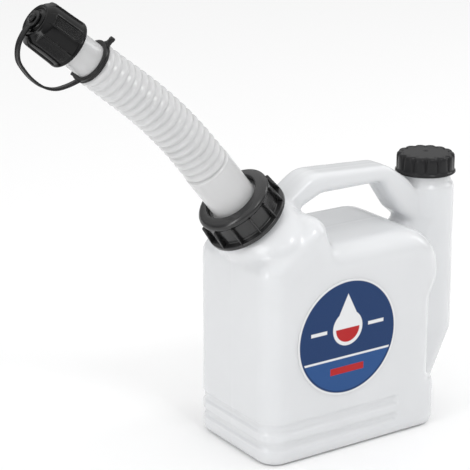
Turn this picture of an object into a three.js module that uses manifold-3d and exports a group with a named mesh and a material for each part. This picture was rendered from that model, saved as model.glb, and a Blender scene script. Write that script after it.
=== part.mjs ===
// A one-litre two-stroke fuel mixing bottle: a blown bottle with a grip and a side column,
// a slanted neck with a screw collar and a corrugated pouring spout, a tethered spout cap,
// and a screw cap on the column. Millimetres, +Z up. The origin is the centre of the base.
import * as THREE from "three";
import { mergeVertices } from "three/addons/utils/BufferGeometryUtils.js";
import Module from "manifold-3d";

const wasm = await Module();
wasm.setup();

// Driving sizes of the bottle
const wall = 1.4;
const floorThickness = 2.4;
const bodyHalfWidth = 65;
const bodyHalfDepth = 40;
const edgeRadius = 13;
const baseCornerRadius = 9;
const saddleHeight = 128.5;
const shoulderRadius = 26;
const waistDepth = 5.5;
const blockFootX = -15.5;
const blockTopX = -23.5;
const blockLean = 11;

// Driving sizes of the slanted neck, measured along its axis from the collar's lower rim
const neckX = -53.7;
const neckRise = 15.8;
const neckTilt = THREE.MathUtils.degToRad(38.5);
const neckRadius = 19.6;
const neckHeight = 10.4;
const neckWall = 2.2;

// Driving sizes of the side column
const columnX = 80;
const columnRadius = 18.3;
const columnRise = 18;
const oilNeckRadius = 15.8;
const oilNeckHeight = 14.4;
const oilNeckWall = 1.8;

// Driving sizes of the grip
const gripDepth = 24;
const gripEdgeRadius = 4.2;
const gripGap = 25.1;
const gripThickness = 12.7;
const gripFall = 3.3;
const gripToCap = 3.1;

// Driving sizes of the spout
const seat = 0.3;
const gasketThickness = 1.5;
const flangeThickness = 1.5;
const tubeRadius = 14.1;
const tubeWall = 1.3;
const straightLength = 45.3;
const ribCount = 19;
const ribPitch = 5.2;
const ribDepth = 1.1;
const bendStart = 54;
const bendLength = 60;
const bendAngle = THREE.MathUtils.degToRad(13.1);
const crestStart = 13.9;
const crestEnd = 12.7;
const tipRadius = 10.2;
const tipLength = 39.5;
const ringSeat = 1.8;

// Driving sizes of the closures
const collarRimRadius = 25.8;
const collarRimHeight = 2.4;
const collarSkirtRadius = 22.5;
const collarRibRadius = 24.6;
const collarRibTop = 14.4;
const collarTopRadius = 23.4;
const collarHoleRadius = 16.4;
const collarPlate = 2.2;
const collarCrown = 2.5;
const collarRibs = 12;
const threadClearance = 1.3;
const oilCapRimRadius = 18.9;
const oilCapRadius = 17.6;
const oilCapRibRadius = 18.2;
const oilCapHeight = 12.2;
const oilCapRibs = 12;
const oilCapPlate = 1.5;
const spoutCapBaseRadius = 14.2;
const spoutCapTopRadius = 13;
const spoutCapLength = 24.6;
const spoutCapPlate = 2;
const spoutCapRibs = 6;
const linerThickness = 1.2;

// Driving sizes of the tether and the label
const ringWidth = 2.9;
const ringRadius = 12.7;
const tabAngle = -23;
const hornAngle = 139;
const strapWidth = 4.4;
const strapThickness = 1.6;
const strapBow = 36;
const studRadius = 2.2;
const studHeight = 2.8;
const loopRadius = 4.6;
const labelRadius = 36;
const labelX = -9;
const labelZ = 73;
const labelThickness = 0.3;

// Heights that follow the saddle, the level top between the slanted block and the column
const neckZ = saddleHeight + neckRise;
const columnShoulderZ = saddleHeight + columnRise;
const gripUnderside = saddleHeight + gripGap;

const around = 28;

// Closed surfaces and solids

// A surface with only positions, shared vertices and no triangle that has lost its area.
function cleaned(geometry) {
  const bare = geometry.index ? geometry.toNonIndexed() : geometry.clone();
  bare.deleteAttribute("normal");
  bare.deleteAttribute("uv");
  const merged = mergeVertices(bare, 1e-4);
  const old = merged.index.array;
  const kept = [];
  for (let i = 0; i < old.length; i += 3) {
    const [a, b, c] = [old[i], old[i + 1], old[i + 2]];
    if (a !== b && b !== c && a !== c) kept.push(a, b, c);
  }
  merged.setIndex(kept);
  return merged;
}

// A closed surface as a solid, turned so that its faces point outwards.
function solid(geometry) {
  const surface = cleaned(geometry);
  const vertProperties = surface.attributes.position.array;
  const triVerts = new Uint32Array(surface.index.array);
  const made = new wasm.Manifold(new wasm.Mesh({ numProp: 3, vertProperties, triVerts }));
  if (made.volume() > 0) return made;
  for (let i = 0; i < triVerts.length; i += 3) {
    [triVerts[i + 1], triVerts[i + 2]] = [triVerts[i + 2], triVerts[i + 1]];
  }
  return new wasm.Manifold(new wasm.Mesh({ numProp: 3, vertProperties, triVerts }));
}

function joined(...pieces) {
  return pieces.reduce((sum, piece) => sum.add(piece));
}

function meshOf(name, made, colour, roughness) {
  const data = made.getMesh();
  const positions = new Float32Array(data.numVert * 3);
  for (let i = 0; i < data.numVert; i++) {
    const first = i * data.numProp;
    positions.set(data.vertProperties.subarray(first, first + 3), i * 3);
  }
  const geometry = new THREE.BufferGeometry();
  geometry.setAttribute("position", new THREE.BufferAttribute(positions, 3));
  geometry.setIndex(new THREE.BufferAttribute(data.triVerts, 1));
  geometry.computeVertexNormals();
  const material = new THREE.MeshStandardMaterial({ color: colour, roughness, metalness: 0 });
  const mesh = new THREE.Mesh(geometry, material);
  mesh.name = name;
  return mesh;
}

// Skins a row of rings that all have the same number of points, and closes both ends.
// Each ring runs anticlockwise when seen from the first ring's outer side.
function loft(rings) {
  const count = rings[0].length;
  const positions = rings.flat().flatMap((p) => [p.x, p.y, p.z]);
  const index = [];
  for (let k = 0; k + 1 < rings.length; k++) {
    for (let i = 0; i < count; i++) {
      const a = k * count + i;
      const next = k * count + ((i + 1) % count);
      index.push(a, a + count, next, next, a + count, next + count);
    }
  }
  const last = (rings.length - 1) * count;
  for (const [a, b, c] of capTriangles(rings[0])) index.push(a, b, c);
  for (const [a, b, c] of capTriangles(rings.at(-1))) index.push(last + a, last + c, last + b);
  const geometry = new THREE.BufferGeometry();
  geometry.setAttribute("position", new THREE.Float32BufferAttribute(positions, 3));
  geometry.setIndex(index);
  return geometry;
}

// Triangles that fill a flat ring, in the ring's own direction.
function capTriangles(ring) {
  const normal = new THREE.Vector3();
  ring.forEach((p, i) => normal.add(p.clone().cross(ring[(i + 1) % ring.length])));
  normal.normalize();
  const u = ring[1].clone().sub(ring[0]).projectOnPlane(normal).normalize();
  const v = normal.clone().cross(u);
  const flat = ring.map((p) => new THREE.Vector2(p.dot(u), p.dot(v)));
  return THREE.ShapeUtils.triangulateShape(flat, []);
}

// The polygon of an outline moved inwards, each corner rounded with the same number of points.
// Corners are [x, z, radius], anticlockwise.
function roundedOutline(corners, inset, steps) {
  const points = [];
  const count = corners.length;
  const edge = (i) => {
    const from = new THREE.Vector2(...corners[(i + count) % count]);
    const to = new THREE.Vector2(...corners[(i + 1) % count]);
    const along = to.sub(from).normalize();
    const inward = new THREE.Vector2(-along.y, along.x);
    return { start: from.addScaledVector(inward, inset), along, inward };
  };
  for (let i = 0; i < count; i++) {
    const before = edge(i - 1);
    const after = edge(i);
    const turn = before.along.cross(after.along);
    const reach = after.start.clone().sub(before.start).cross(after.along) / turn;
    const vertex = before.start.clone().addScaledVector(before.along, reach);
    const angle = Math.atan2(turn, before.along.dot(after.along));
    const radius = angle > 0 ? Math.max(corners[i][2] - inset, 0.4) : corners[i][2] + inset;
    const side = Math.sign(angle);
    const tangent = radius * Math.tan(Math.abs(angle) / 2);
    const centre = vertex
      .clone()
      .addScaledVector(before.along, -tangent)
      .addScaledVector(before.inward, radius * side);
    const spoke = before.inward.clone().multiplyScalar(-radius * side);
    for (let k = 0; k <= steps; k++) {
      const turned = spoke.clone().rotateAround(new THREE.Vector2(), (angle * k) / steps);
      points.push(turned.add(centre));
    }
  }
  return points;
}

// A slab whose outline lies in the XZ plane, with both faces rounded off all round.
function roundedSlab(corners, halfDepth, rounding, inset = 0, cornerSteps = 5, edgeSteps = 4) {
  const depth = halfDepth - inset;
  const radius = rounding - inset;
  const front = [];
  for (let k = 0; k <= edgeSteps; k++) {
    const t = (k / edgeSteps) * (Math.PI / 2);
    const y = -depth + radius * (1 - Math.cos(t));
    const ring = roundedOutline(corners, inset + radius * (1 - Math.sin(t)), cornerSteps);
    front.push(ring.map((p) => new THREE.Vector3(p.x, y, p.y)));
  }
  const back = front.map((ring) => ring.map((p) => new THREE.Vector3(p.x, -p.y, p.z)));
  return solid(loft([...front, ...back.reverse()]));
}

// A level ring at one height that wraps round a set of circles [x, y, radius].
function wrappedCircles(circles, z, count = around) {
  const ring = [];
  for (let i = 0; i < count; i++) {
    const angle = (i / count) * 2 * Math.PI;
    const out = new THREE.Vector2(Math.cos(angle), Math.sin(angle));
    const reach = ([x, y, r]) => x * out.x + y * out.y + r;
    const [x, y, r] = circles.reduce((a, b) => (reach(b) > reach(a) ? b : a));
    ring.push(new THREE.Vector3(x + r * out.x, y + r * out.y, z));
  }
  return ring;
}

// A level ring with four equal round corners.
function roundedRectangle(halfWidth, halfDepth, radius, z) {
  const [x, y] = [halfWidth, halfDepth];
  const corners = [[-x, -y, radius], [x, -y, radius], [x, y, radius], [-x, y, radius]];
  return roundedOutline(corners, 0, 5).map((p) => new THREE.Vector3(p.x, p.y, z));
}

// A solid of revolution about +Z. The profile is a list of [radius, height].
function turned(profile, segments = around) {
  const points = [...profile, profile[0]].map(([r, z]) => new THREE.Vector2(r, z));
  const geometry = new THREE.LatheGeometry(points, segments);
  geometry.rotateX(Math.PI / 2);
  return solid(geometry);
}

// A plain rod about +Z from one height to another.
function rod(radius, low, high, segments = around) {
  return turned([[0, low], [radius, low], [radius, high], [0, high]], segments);
}

// A straight bar along +Z whose cross-section is a shape.
function bar(shape, low, high) {
  const geometry = new THREE.ExtrudeGeometry(shape, { depth: high - low, bevelEnabled: false });
  geometry.translate(0, 0, low);
  return solid(geometry);
}

function rectangle(x0, x1, y0, y1) {
  const shape = new THREE.Shape();
  shape.moveTo(x0, y0).lineTo(x1, y0).lineTo(x1, y1).lineTo(x0, y1).closePath();
  return shape;
}

// Moves a solid by a matrix.
function placed(made, matrix) {
  return made.transform(matrix.elements);
}

// The frame of a piece whose own +Z lies in the XZ plane, leaning towards -X.
function leaning(x, z, tilt) {
  return new THREE.Matrix4().makeTranslation(x, 0, z).multiply(new THREE.Matrix4().makeRotationY(-tilt));
}

const neckFrame = leaning(neckX, neckZ, neckTilt);
const oilNeckFrame = new THREE.Matrix4().makeTranslation(columnX, 0, columnShoulderZ);

// The blown bottle

// The height of the slanted shoulder above a place on the X axis.
function slantAt(x) {
  const lowX = neckX + blockLean * Math.sin(neckTilt);
  const lowZ = neckZ - blockLean * Math.cos(neckTilt);
  return lowZ + Math.tan(neckTilt) * (x - lowX);
}

const bodyOutline = [
  [-bodyHalfWidth, 0, baseCornerRadius],
  [bodyHalfWidth, 0, baseCornerRadius],
  [bodyHalfWidth, 26, 6],
  [bodyHalfWidth - waistDepth, 35, 4],
  [bodyHalfWidth - waistDepth, saddleHeight - 44.5, 4],
  [bodyHalfWidth, saddleHeight - 33.5, 6],
  [bodyHalfWidth, saddleHeight, shoulderRadius],
  [blockFootX, saddleHeight, 4],
  [blockTopX, slantAt(blockTopX), 10],
  [-bodyHalfWidth, slantAt(-bodyHalfWidth), 10],
];

// The grip's left end is rooted in the slanted block, its right end in the column.
const gripTopLeft = gripUnderside + gripThickness;
const gripTopRight = gripTopLeft - gripFall;

const gripOutline = [
  [blockTopX - 18, slantAt(blockTopX - 18) - 1.3, 3],
  [blockTopX - 4, saddleHeight + 0.1, 3],
  [blockTopX + 1, gripUnderside - 7, 3],
  [-7, gripUnderside, 8],
  [38, gripUnderside, 5],
  [53, saddleHeight + 3, 6],
  [columnX - 14, saddleHeight - 7, 3],
  [columnX - 6, columnShoulderZ - 10.5, 3],
  [columnX - oilCapRimRadius - gripToCap, columnShoulderZ + 6.5, 8],
  [43, gripTopRight, 12],
  [-14, gripTopLeft, 20],
  [-36, gripTopLeft - 15, 14],
];

// The foot, which is less rounded below than the slab. Each row is [height, how far in].
const footRows = [
  [30, 0.4],
  [6, 0],
  [2, 1.2],
  [0, 4.6],
];

function foot(inset) {
  const rings = footRows.map(([z, back]) => {
    const height = z === 0 && inset ? floorThickness : z;
    const grow = -back - inset;
    const radius = edgeRadius + grow;
    return roundedRectangle(bodyHalfWidth + grow, bodyHalfDepth + grow, radius, height);
  });
  return solid(loft(inset ? rings.filter((ring) => ring[0].z >= floorThickness) : rings));
}

// The two grooves above the foot, which run round the left side and end on the two faces.
const grooveRows = [
  [11.6, 14.2],
  [22, 25.4],
];
const grooveDepth = 1.2;
const grooveEndX = 31;

function grooves(inset) {
  const rings = (low, high) => {
    const rows = [
      [low - grooveDepth * 1.5, 0.6],
      [low, -grooveDepth],
      [high, -grooveDepth],
      [high + grooveDepth * 1.5, 0.6],
    ];
    return rows.map(([z, out], row) => {
      const grow = out - inset;
      const lift = row < 2 ? -inset : inset;
      const [x, y] = [bodyHalfWidth + grow, bodyHalfDepth + grow];
      return roundedRectangle(x, y, edgeRadius + grow, z + lift);
    });
  };
  const cut = grooveRows.map(([low, high]) => {
    const core = rings(low, high).reverse();
    const [bottom, top] = [core.at(-1)[0].z, core[0][0].z];
    const band = bar(rectangle(-90, grooveEndX + inset, -60, 60), bottom, top);
    return band.subtract(solid(loft(core)));
  });
  return joined(...cut);
}

// The side column, from its shoulder down to where it runs out into the bottle's side.
// Each row is [height, web x, web radius, nose x, nose radius].
const columnRows = [
  [columnShoulderZ, columnX, oilNeckRadius - 1, columnX, oilNeckRadius],
  [columnShoulderZ - 1.6, columnX, columnRadius - 2, columnX, columnRadius - 0.8],
  [columnShoulderZ - 5, columnX, columnRadius - 2, columnX, columnRadius],
  [saddleHeight - 2, columnX - 4, columnRadius - 2, columnX, columnRadius],
  [saddleHeight - 22, columnX - 15, columnRadius - 1, columnX, columnRadius],
  [saddleHeight - 40, columnX - 22, columnRadius, columnX + 0.4, columnRadius],
  [51, columnX - 22, columnRadius, columnX + 0.8, columnRadius],
  [17, columnX - 28, columnRadius - 2.5, columnX - 12.5, columnRadius - 2],
  [8, columnX - 34, columnRadius - 7, columnX - 20, columnRadius - 6.5],
  [3.9, columnX - 40, columnRadius - 9, columnX - 32, columnRadius - 9],
];

function column(inset) {
  const rings = columnRows.map(([z, webX, webRadius, noseX, noseRadius], row) => {
    const drop = row === 0 ? inset : 0;
    return wrappedCircles([[webX, 0, webRadius - inset], [noseX, 0, noseRadius - inset]], z - drop);
  });
  return solid(loft(rings));
}

// The domed shoulder that carries the slanted neck. Each row is [height along the neck axis,
// half width, half depth].
const domeRows = [
  [-1.5, 21.2, 21.2],
  [-3.2, 22.3, 24],
  [-6, 23.2, 29.5],
  [-9, 23.8, 33.5],
  [-12.5, 24, 36],
  [-20, 24, 36.5],
];

function dome(inset) {
  const rings = domeRows.map(([height, halfWidth, halfDepth]) => {
    const ring = [];
    for (let i = 0; i < around; i++) {
      const angle = (i / around) * 2 * Math.PI;
      const x = (halfWidth - inset) * Math.cos(angle);
      const y = (halfDepth - inset) * Math.sin(angle);
      ring.push(new THREE.Vector3(x, y, height - inset));
    }
    return ring;
  });
  return placed(solid(loft(rings)), neckFrame);
}

function bottleForm(inset) {
  const box = joined(roundedSlab(bodyOutline, bodyHalfDepth, edgeRadius, inset), foot(inset));
  return joined(
    box.subtract(grooves(inset)),
    column(inset),
    dome(inset),
    roundedSlab(gripOutline, gripDepth / 2, gripEdgeRadius, inset, 3, 3),
  );
}

// The shallow channel pressed into the underside, which leaves the middle of the base flat.
function baseChannel() {
  const deep = 1;
  const [width, depth, span] = [52, 27, 5];
  const outer = solid(loft([roundedRectangle(width, depth, 10, deep), roundedRectangle(width, depth, 10, -1)]));
  const land = solid(
    loft([
      roundedRectangle(width - span, depth - span, 6, deep + 1),
      roundedRectangle(width - span, depth - span, 6, -2),
    ]),
  );
  return outer.subtract(land);
}

function bottleBody() {
  const neck = placed(rod(neckRadius, -8, neckHeight), neckFrame);
  const oilNeck = placed(rod(oilNeckRadius, -4, oilNeckHeight), oilNeckFrame);
  const outer = joined(bottleForm(0), neck, oilNeck);
  const bore = placed(rod(neckRadius - neckWall, -14, neckHeight + 5), neckFrame);
  const oilBore = placed(rod(oilNeckRadius - oilNeckWall, -8, oilNeckHeight + 5), oilNeckFrame);
  return outer.subtract(joined(bottleForm(wall), bore, oilBore)).subtract(baseChannel());
}

function label() {
  const disc = rod(labelRadius, 0, labelThickness, 48);
  const facing = new THREE.Matrix4().makeTranslation(labelX, -bodyHalfDepth, labelZ);
  facing.multiply(new THREE.Matrix4().makeRotationX(Math.PI / 2));
  return placed(disc, facing);
}

// The spout and its collar, all built upright on the neck axis

const gasketLow = neckHeight + seat;
const flangeLow = gasketLow + gasketThickness + seat;
const plateLow = flangeLow + flangeThickness + seat;
const flangeRadius = neckRadius + 0.4;

function spoutGasket() {
  const inner = neckRadius - neckWall + 0.6;
  const high = gasketLow + gasketThickness;
  const ring = turned([[inner, gasketLow], [neckRadius, gasketLow], [neckRadius, high], [inner, high]]);
  return placed(ring, neckFrame);
}

function spoutCollar() {
  const bore = neckRadius + threadClearance;
  const top = plateLow + collarPlate;
  const shell = turned(
    [
      [bore, 0],
      [collarRimRadius, 0],
      [collarRimRadius, collarRimHeight],
      [collarSkirtRadius, collarRimHeight + 0.5],
      [collarSkirtRadius, collarRibTop - 1],
      [collarTopRadius, collarRibTop],
      [collarTopRadius, top - 1.1],
      [collarTopRadius - 1.1, top],
      [collarHoleRadius, top + collarCrown],
      [collarHoleRadius, plateLow],
      [bore, plateLow],
    ],
    48,
  );
  const rib = bar(
    rectangle(collarSkirtRadius - 0.6, collarRibRadius, -0.65, 0.65),
    collarRimHeight / 2,
    collarRibTop,
  );
  const ribs = [];
  for (let i = 0; i < collarRibs; i++) ribs.push(rib.rotate([0, 0, ((i + 0.5) * 360) / collarRibs]));
  return placed(joined(shell, ...ribs), neckFrame);
}

// A point on the spout's centreline and the lean there, at a distance along it from the neck's
// origin: straight, then a bend within the corrugated length, then straight again.
function spoutPlace(distance) {
  const bendRadius = bendLength / bendAngle;
  const onBend = THREE.MathUtils.clamp((distance - bendStart) / bendLength, 0, 1);
  const turn = onBend * bendAngle;
  const before = Math.min(distance, bendStart);
  const after = Math.max(distance - bendStart - bendLength, 0);
  const lean = neckTilt + turn;
  const x = -before * Math.sin(neckTilt) + bendRadius * (Math.cos(lean) - Math.cos(neckTilt));
  const z = before * Math.cos(neckTilt) + bendRadius * (Math.sin(lean) - Math.sin(neckTilt));
  return {
    x: neckX + x - after * Math.sin(lean),
    z: neckZ + z + after * Math.cos(lean),
    lean,
  };
}

// A ring of the spout's skin at one distance along it.
function spoutRing(distance, radius, segments) {
  const { x, z, lean } = spoutPlace(distance);
  const frame = leaning(x, z, lean);
  const ring = [];
  for (let i = 0; i < segments; i++) {
    const angle = (i / segments) * 2 * Math.PI;
    const point = new THREE.Vector3(radius * Math.cos(angle), radius * Math.sin(angle), 0);
    ring.push(point.applyMatrix4(frame));
  }
  return ring;
}

const ribsEnd = straightLength + ribCount * ribPitch;
const spoutEnd = ribsEnd + tipLength;
const ringPlace = ribsEnd + ringSeat;

function spoutTube() {
  const segments = 24;
  const crest = (distance) =>
    THREE.MathUtils.mapLinear(distance, straightLength, ribsEnd, crestStart, crestEnd);
  const outer = [
    [flangeLow, flangeRadius],
    [flangeLow + flangeThickness, flangeRadius],
    [flangeLow + flangeThickness, tubeRadius],
    [straightLength - 0.5, tubeRadius],
  ];
  for (let rib = 0; rib < ribCount; rib++) {
    const start = straightLength + rib * ribPitch;
    outer.push([start + ribPitch * 0.12, crest(start) - ribDepth]);
    outer.push([start + ribPitch * 0.42, crest(start)]);
    outer.push([start + ribPitch * 0.8, crest(start)]);
  }
  outer.push([ribsEnd, crestEnd - ribDepth]);
  outer.push([ribsEnd, tipRadius]);
  outer.push([spoutEnd, tipRadius]);
  const inner = [
    [flangeLow - 1, tubeRadius - tubeWall],
    [straightLength, crestStart - ribDepth - tubeWall],
    [(straightLength + ribsEnd) / 2, (crestStart + crestEnd) / 2 - ribDepth - tubeWall],
    [ribsEnd - 10, crestEnd - ribDepth - tubeWall],
    [ribsEnd, tipRadius - tubeWall + 0.4],
    [ringPlace, tipRadius - tubeWall],
    [spoutEnd + 1, tipRadius - tubeWall],
  ];
  const skin = (rows) => {
    const rings = rows.map(([distance, radius]) => spoutRing(distance, radius, segments));
    return solid(loft(rings.reverse()));
  };
  return skin(outer).subtract(skin(inner));
}

// The spout's cap and its liner, upright on the tip's axis

const capPlace = spoutPlace(spoutEnd);
const capFrame = leaning(capPlace.x, capPlace.z, capPlace.lean);
const capPlateLow = seat + linerThickness + seat;
const capTop = capPlateLow + spoutCapPlate;
const capRim = capTop - spoutCapLength;
const capBore = tipRadius + threadClearance;

function spoutCapLiner() {
  return placed(rod(capBore - 0.5, seat, seat + linerThickness), capFrame);
}

function spoutCap() {
  const body = turned([
    [0, capTop],
    [0, capPlateLow],
    [capBore, capPlateLow],
    [capBore, capRim],
    [spoutCapBaseRadius, capRim],
    [spoutCapBaseRadius, capRim + 2],
    [spoutCapBaseRadius - 0.7, capRim + 2.3],
    [spoutCapTopRadius - 0.7, capTop - 1.6],
    [spoutCapTopRadius - 2.2, capTop],
  ], 36);
  const ribs = [];
  for (let i = 0; i < spoutCapRibs; i++) {
    const half = 3.3;
    const low = rectangle(capBore + 0.4, spoutCapBaseRadius + 0.1, -half, half);
    const rib = bar(low, capRim + 1, capTop - 2.4);
    ribs.push(rib.rotate([0, 0, (i * 360) / spoutCapRibs + 180 / spoutCapRibs]));
  }
  const stud = rod(studRadius, capTop - 0.5, capTop + studHeight, 16);
  return placed(joined(body, ...ribs, stud), capFrame);
}

// The tether: a ring round the spout, a pull tab, and a strap to a loop on the cap's stud

const loopLow = capTop + seat;

function strapRoute() {
  const ringAt = spoutPlace(ringPlace);
  const below = new THREE.Vector3(-Math.cos(ringAt.lean), 0, -Math.sin(ringAt.lean));
  const outward = new THREE.Vector3(-Math.sin(capPlace.lean), 0, Math.cos(capPlace.lean));
  const down = new THREE.Vector3(-Math.cos(capPlace.lean), 0, -Math.sin(capPlace.lean));
  const ringCentre = new THREE.Vector3(ringAt.x, 0, ringAt.z);
  const loopCentre = new THREE.Vector3(capPlace.x, 0, capPlace.z).addScaledVector(
    outward,
    loopLow + strapThickness / 2,
  );
  const onRing = ringCentre.clone().addScaledVector(below, ringRadius - 0.8);
  const offLoop = loopCentre.clone().addScaledVector(down, loopRadius - 1);
  const out = (x, z) => onRing.clone().add(new THREE.Vector3(-strapBow * x, 0, strapBow * z));
  return new THREE.CatmullRomCurve3(
    [
      onRing,
      out(0.219, -0.063),
      out(0.404, -0.083),
      out(0.589, -0.032),
      out(0.76, 0.09),
      out(0.907, 0.26),
      out(0.992, 0.42),
      offLoop.clone().addScaledVector(down, 12.4).addScaledVector(outward, -0.8),
      offLoop.clone().addScaledVector(down, 5.5).addScaledVector(outward, 0.5),
      offLoop,
    ],
    false,
    "centripetal",
  );
}

function capTether() {
  const ringAt = spoutPlace(ringPlace);
  const frame = leaning(ringAt.x, ringAt.z, ringAt.lean);
  const bore = tipRadius + 0.35;
  const half = ringWidth / 2;
  const band = turned([[bore, -half], [ringRadius, -half], [ringRadius, half], [bore, half]]);
  const tab = bar(rectangle(ringRadius - 0.6, ringRadius + 5.2, -1.8, 1.8), -half, half - 0.4);
  const horn = bar(rectangle(ringRadius - 0.6, ringRadius + 2, -1.6, 1.6), -half, half - 0.4);
  const loop = turned(
    [
      [studRadius + seat, loopLow],
      [loopRadius, loopLow],
      [loopRadius, loopLow + strapThickness],
      [studRadius + seat, loopLow + strapThickness],
    ],
    20,
  );
  const section = rectangle(-strapWidth / 2, strapWidth / 2, -strapThickness / 2, strapThickness / 2);
  const strap = new THREE.ExtrudeGeometry(section, {
    steps: 26,
    extrudePath: strapRoute(),
    bevelEnabled: false,
  });
  const ring = joined(band, tab.rotate([0, 0, tabAngle]), horn.rotate([0, 0, hornAngle]));
  return joined(placed(ring, frame), placed(loop, capFrame), solid(strap));
}

// The column's screw cap and its liner

const oilLinerLow = oilNeckHeight + seat;
const oilPlateLow = oilLinerLow + linerThickness + seat;
const oilCapTop = oilPlateLow + oilCapPlate;
const oilCapRim = oilCapTop - oilCapHeight;

function oilCapLiner() {
  const liner = rod(oilNeckRadius + 0.4, oilLinerLow, oilLinerLow + linerThickness);
  return placed(liner, oilNeckFrame);
}

function oilCap() {
  const bore = oilNeckRadius + threadClearance - 0.5;
  const body = turned(
    [
      [0, oilCapTop + 0.9],
      [0, oilPlateLow],
      [bore, oilPlateLow],
      [bore, oilCapRim],
      [oilCapRimRadius, oilCapRim],
      [oilCapRimRadius - 0.2, oilCapRim + 1.6],
      [oilCapRadius, oilCapRim + 2.6],
      [oilCapRadius - 0.2, oilCapTop - 1.6],
      [oilCapRadius - 1.6, oilCapTop],
      [oilCapRadius * 0.5, oilCapTop + 0.7],
    ],
    48,
  );
  const ribs = [];
  for (let i = 0; i < oilCapRibs; i++) {
    const rib = bar(rectangle(bore + 0.1, oilCapRibRadius, -2.3, 2.3), oilCapRim + 0.8, oilCapTop - 0.7);
    ribs.push(rib.rotate([0, 0, (i * 360) / oilCapRibs]));
  }
  return placed(joined(body, ...ribs), oilNeckFrame);
}

const bottle = new THREE.Group();
bottle.add(
  meshOf("bottle_body", bottleBody(), 0xe4e6e8, 0.4),
  meshOf("label", label(), 0x1f3f73, 0.45),
  meshOf("spout_gasket", spoutGasket(), 0x2c2c2c, 0.8),
  meshOf("spout_collar", spoutCollar(), 0x3a3a3b, 0.5),
  meshOf("spout_tube", spoutTube(), 0xcfd0d1, 0.45),
  meshOf("cap_tether", capTether(), 0x1c1c1c, 0.45),
  meshOf("spout_cap_liner", spoutCapLiner(), 0xe8e8e6, 0.7),
  meshOf("spout_cap", spoutCap(), 0x1a1a1a, 0.4),
  meshOf("oil_cap_liner", oilCapLiner(), 0xe8e8e6, 0.7),
  meshOf("oil_cap", oilCap(), 0x2b2b2c, 0.4),
);

export default bottle;
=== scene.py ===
# %% [markdown]
# A fuel mixing bottle, piece by piece
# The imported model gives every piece's place. The cells below dress it: each visible piece
# but the flat label gets a finer mesh than the frame's facets, and every piece gets a
# material made from nodes.

# %% Load the frame
import bpy
import math
import numpy as np
from mathutils import Matrix, Vector


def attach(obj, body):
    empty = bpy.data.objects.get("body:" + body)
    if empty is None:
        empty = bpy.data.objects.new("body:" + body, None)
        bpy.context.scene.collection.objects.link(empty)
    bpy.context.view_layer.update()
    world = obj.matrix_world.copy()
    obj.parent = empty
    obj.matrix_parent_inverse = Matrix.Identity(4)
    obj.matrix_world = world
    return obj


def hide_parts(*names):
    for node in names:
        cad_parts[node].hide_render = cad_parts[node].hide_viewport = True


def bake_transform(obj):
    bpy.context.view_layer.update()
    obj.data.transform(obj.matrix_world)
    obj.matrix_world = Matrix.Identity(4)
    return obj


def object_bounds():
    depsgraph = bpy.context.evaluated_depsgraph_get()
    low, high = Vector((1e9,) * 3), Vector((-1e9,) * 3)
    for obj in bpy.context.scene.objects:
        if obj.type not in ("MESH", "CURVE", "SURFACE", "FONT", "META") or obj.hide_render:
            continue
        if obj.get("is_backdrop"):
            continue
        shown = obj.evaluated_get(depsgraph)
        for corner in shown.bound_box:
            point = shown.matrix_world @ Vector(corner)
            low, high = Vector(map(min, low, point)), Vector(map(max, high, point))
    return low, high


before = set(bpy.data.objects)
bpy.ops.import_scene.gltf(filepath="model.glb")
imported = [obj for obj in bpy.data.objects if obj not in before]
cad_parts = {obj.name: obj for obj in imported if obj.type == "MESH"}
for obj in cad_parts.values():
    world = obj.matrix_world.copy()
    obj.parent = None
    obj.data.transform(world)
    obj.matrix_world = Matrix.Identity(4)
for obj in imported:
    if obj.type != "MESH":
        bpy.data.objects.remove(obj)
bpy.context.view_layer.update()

MM = 0.001

# %% [markdown]
# The camera looks down a little from the spout's side. A long lens keeps the bottle's
# upright edges almost parallel, as in a product photograph. A camera could also be aimed
# with a constraint, but two angles and a distance are easier to read and to change.

# %% Camera
camera_aim = Vector((-0.06215, 0, 0.13496))
camera_side = math.radians(-33.61)
camera_height = math.radians(17.7)
CAMERA_DISTANCE, LENS_MM, SENSOR_MM = 1.0146, 133.4, 36
camera_back = Vector((
    math.sin(camera_side) * math.cos(camera_height),
    -math.cos(camera_side) * math.cos(camera_height),
    math.sin(camera_height),
))
camera_data = bpy.data.cameras.new("camera")
camera_data.lens = LENS_MM
camera_data.sensor_width = SENSOR_MM
camera = bpy.data.objects.new("camera", camera_data)
bpy.context.scene.collection.objects.link(camera)
camera.location = camera_aim + camera_back * CAMERA_DISTANCE
camera.rotation_euler = camera_back.to_track_quat("Z", "Y").to_euler()
bpy.context.scene.camera = camera
print("camera at, mm:", [round(v / MM) for v in camera.location])

# %% [markdown]
# The setting is a plain studio: a pale floor that runs out of the picture, a white
# surround and three soft lamps. A picture of a real studio could light the bottle too,
# but lamps can be placed so that they leave pale highlights on its rounded edges.

# %% Floor, surround and lamps
def lamp(name, place, aim, size, watts):
    """A rectangular lamp, in metres, that shines from its place to its aim."""
    data = bpy.data.lights.new(name, "AREA")
    data.shape = "RECTANGLE"
    data.size, data.size_y = size
    data.energy = watts
    made = bpy.data.objects.new(name, data)
    bpy.context.scene.collection.objects.link(made)
    made.location = place
    made.rotation_euler = (Vector(place) - Vector(aim)).to_track_quat("Z", "Y").to_euler()
    return made


lamp("key_lamp", (-0.05, -1.15, 1.3), (-0.05, 0, 0.12), size=(0.35, 0.35), watts=4.2)
lamp("left_lamp", (-1.5, -0.25, 0.55), (-0.1, 0, 0.15), size=(0.3, 0.9), watts=4.5)
lamp("right_lamp", (1.5, -0.3, 0.9), (0.05, 0, 0.12), size=(0.4, 0.9), watts=3.5)

SKY_FULL_AT, WALL_LIGHT, SKY_LIGHT = 0.85, 0.22, 1.15


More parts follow.
